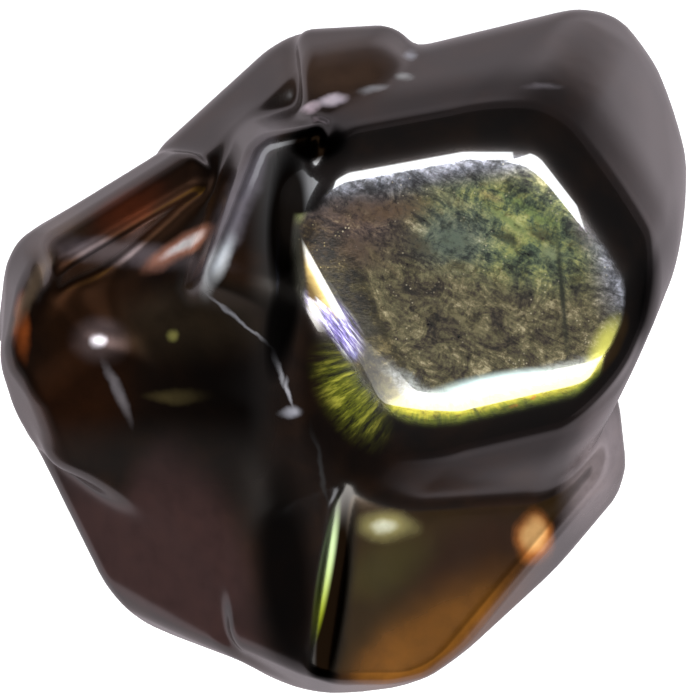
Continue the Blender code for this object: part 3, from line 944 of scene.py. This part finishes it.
# Light table: radius in metres, its glow in the stone's reflections, dimmer on the left and far away
TABLE_RADIUS = 2.0
MIRRORED_COLOUR = (1.0, 0.89, 0.95, 1.0)
MIRRORED_SIDES = (0.008, 0.021, 0.55, 1.3)
MIRRORED_REACH = (0.024, 0.055, 1.0, 0.1)
BRIGHT_SIDE = 20

# Room in the stone's reflections, and backdrop past the table
ROOM_COLOUR = (0.8, 0.9, 1.0, 1.0)
ROOM_STRENGTH = 0.04
BACKDROP = (0.93, 0.94, 0.95, 1.0)

# Lamps: name, compass direction and height in degrees, distance, width, depth, power, colour
LAMPS = [
    ("back_lamp", 96, 56, 0.5, 0.26, 0.10, 0.81, (0.94, 0.97, 1.0)),
    ("corner_lamp", 53, 56, 0.5, 0.15, 0.13, 0.64, (0.94, 0.97, 1.0)),
    ("front_lamp", 259, 60, 0.5, 0.56, 0.22, 2.9, (1.0, 0.99, 0.95)),
    ("left_card", 160, 30, 0.5, 0.40, 0.14, 0.55, (0.92, 0.95, 1.0)),
]

# Lens and sensor, picture's size, and the point of the stone under the picture's middle
LENS = 500
SENSOR_WIDTH = 36
PICTURE_PIXELS = 700
MM_PER_PIXEL = 0.022
VIEW_X, VIEW_Y = 0.154, -0.022

# Height where a pixel of the picture is that long, and height the lamps aim at, in metres
FOCUS_HEIGHT = 0.0068
LAMP_AIM = 0.006


def add_floor():
    """A pale light table: what the stone mirrors of it is dimmer than what the eye sees."""
    bm = bmesh.new()
    bmesh.ops.create_circle(bm, cap_ends=True, radius=TABLE_RADIUS, segments=64)
    mesh = bpy.data.meshes.new("light_table")
    bm.to_mesh(mesh)
    bm.free()
    table = bpy.data.objects.new("light_table", mesh)
    bpy.context.scene.collection.objects.link(table)
    mat = bpy.data.materials.new("light_table")
    mat.use_nodes = True
    w = Weaver(mat)
    shader = w.nodes["Principled BSDF"]
    shader.inputs["Base Color"].default_value = (0.85, 0.86, 0.87, 1.0)
    shader.inputs["Roughness"].default_value = 0.9
    shader.inputs["Specular IOR Level"].default_value = 0.0
    shader.inputs["Emission Color"].default_value = (1.0, 1.0, 1.0, 1.0)
    shader.inputs["Emission Strength"].default_value = 0.7
    place = w.nodes.new("ShaderNodeNewGeometry").outputs["Position"]
    side = w.step(w.dot(place, direction(BRIGHT_SIDE)), *MIRRORED_SIDES)
    fade = w.step(w.vector("LENGTH", place), *MIRRORED_REACH)
    glow = w.nodes.new("ShaderNodeEmission")
    glow.inputs["Color"].default_value = MIRRORED_COLOUR
    w.feed(glow.inputs["Strength"], w.both(side, fade))
    mix = w.nodes.new("ShaderNodeMixShader")
    w.feed(mix.inputs["Fac"], w.nodes.new("ShaderNodeLightPath").outputs["Is Camera Ray"])
    w.feed(mix.inputs[1], glow.outputs["Emission"])
    w.feed(mix.inputs[2], shader.outputs["BSDF"])
    w.feed(w.nodes["Material Output"].inputs["Surface"], mix.outputs["Shader"])
    mesh.materials.append(mat)


def add_world():
    """Dark room in reflections, pale where the camera sees past the table."""
    world = bpy.data.worlds.new("studio")
    bpy.context.scene.world = world
    world.use_nodes = True
    nodes, links = world.node_tree.nodes, world.node_tree.links
    nodes.clear()
    out = nodes.new("ShaderNodeOutputWorld")
    mix = nodes.new("ShaderNodeMixShader")
    room = nodes.new("ShaderNodeBackground")
    pale = nodes.new("ShaderNodeBackground")
    path = nodes.new("ShaderNodeLightPath")
    room.inputs["Color"].default_value = ROOM_COLOUR
    room.inputs["Strength"].default_value = ROOM_STRENGTH
    pale.inputs["Color"].default_value = BACKDROP
    pale.inputs["Strength"].default_value = 1.0
    links.new(path.outputs["Is Camera Ray"], mix.inputs["Fac"])
    links.new(room.outputs["Background"], mix.inputs[1])
    links.new(pale.outputs["Background"], mix.inputs[2])
    links.new(mix.outputs["Shader"], out.inputs["Surface"])


def add_lamp(name, compass, height, distance, width, depth, power, colour):
    """A soft lamp aimed at the stone, by compass direction and height in degrees."""
    data = bpy.data.lights.new(name, "AREA")
    data.shape = "RECTANGLE"
    data.size, data.size_y = width, depth
    data.energy = power
    data.color = colour
    lamp = bpy.data.objects.new(name, data)
    bpy.context.scene.collection.objects.link(lamp)
    a, e = math.radians(compass), math.radians(height)
    place = np.array([math.cos(a) * math.cos(e), math.sin(a) * math.cos(e), math.sin(e)]) * distance
    lamp.location = (place[0], place[1], place[2] + LAMP_AIM)
    lamp.rotation_euler = (math.radians(90 - height), 0, a + math.radians(90))


def add_camera(middle):
    """Straight above the stone through a long lens."""
    data = bpy.data.cameras.new("camera")
    data.lens = LENS
    data.sensor_width = SENSOR_WIDTH
    data.clip_start = 0.005
    camera = bpy.data.objects.new("camera", data)
    span = PICTURE_PIXELS * MM_PER_PIXEL * MM
    distance = span / 2 / math.tan(math.atan(SENSOR_WIDTH / 2 / LENS))
    camera.location = (
        VIEW_X * MM - middle[0] * MM,
        VIEW_Y * MM - middle[1] * MM,
        FOCUS_HEIGHT + distance,
    )
    camera.rotation_euler = (0, 0, 0)
    bpy.context.scene.collection.objects.link(camera)
    bpy.context.scene.camera = camera


middle = add_stone([(wear, *face_arrays(faces)) for wear, faces in CRYSTALS])
add_floor()
add_world()
for lamp in LAMPS:
    add_lamp(*lamp)
add_camera(middle)
bpy.context.scene.view_settings.view_transform = "Standard"
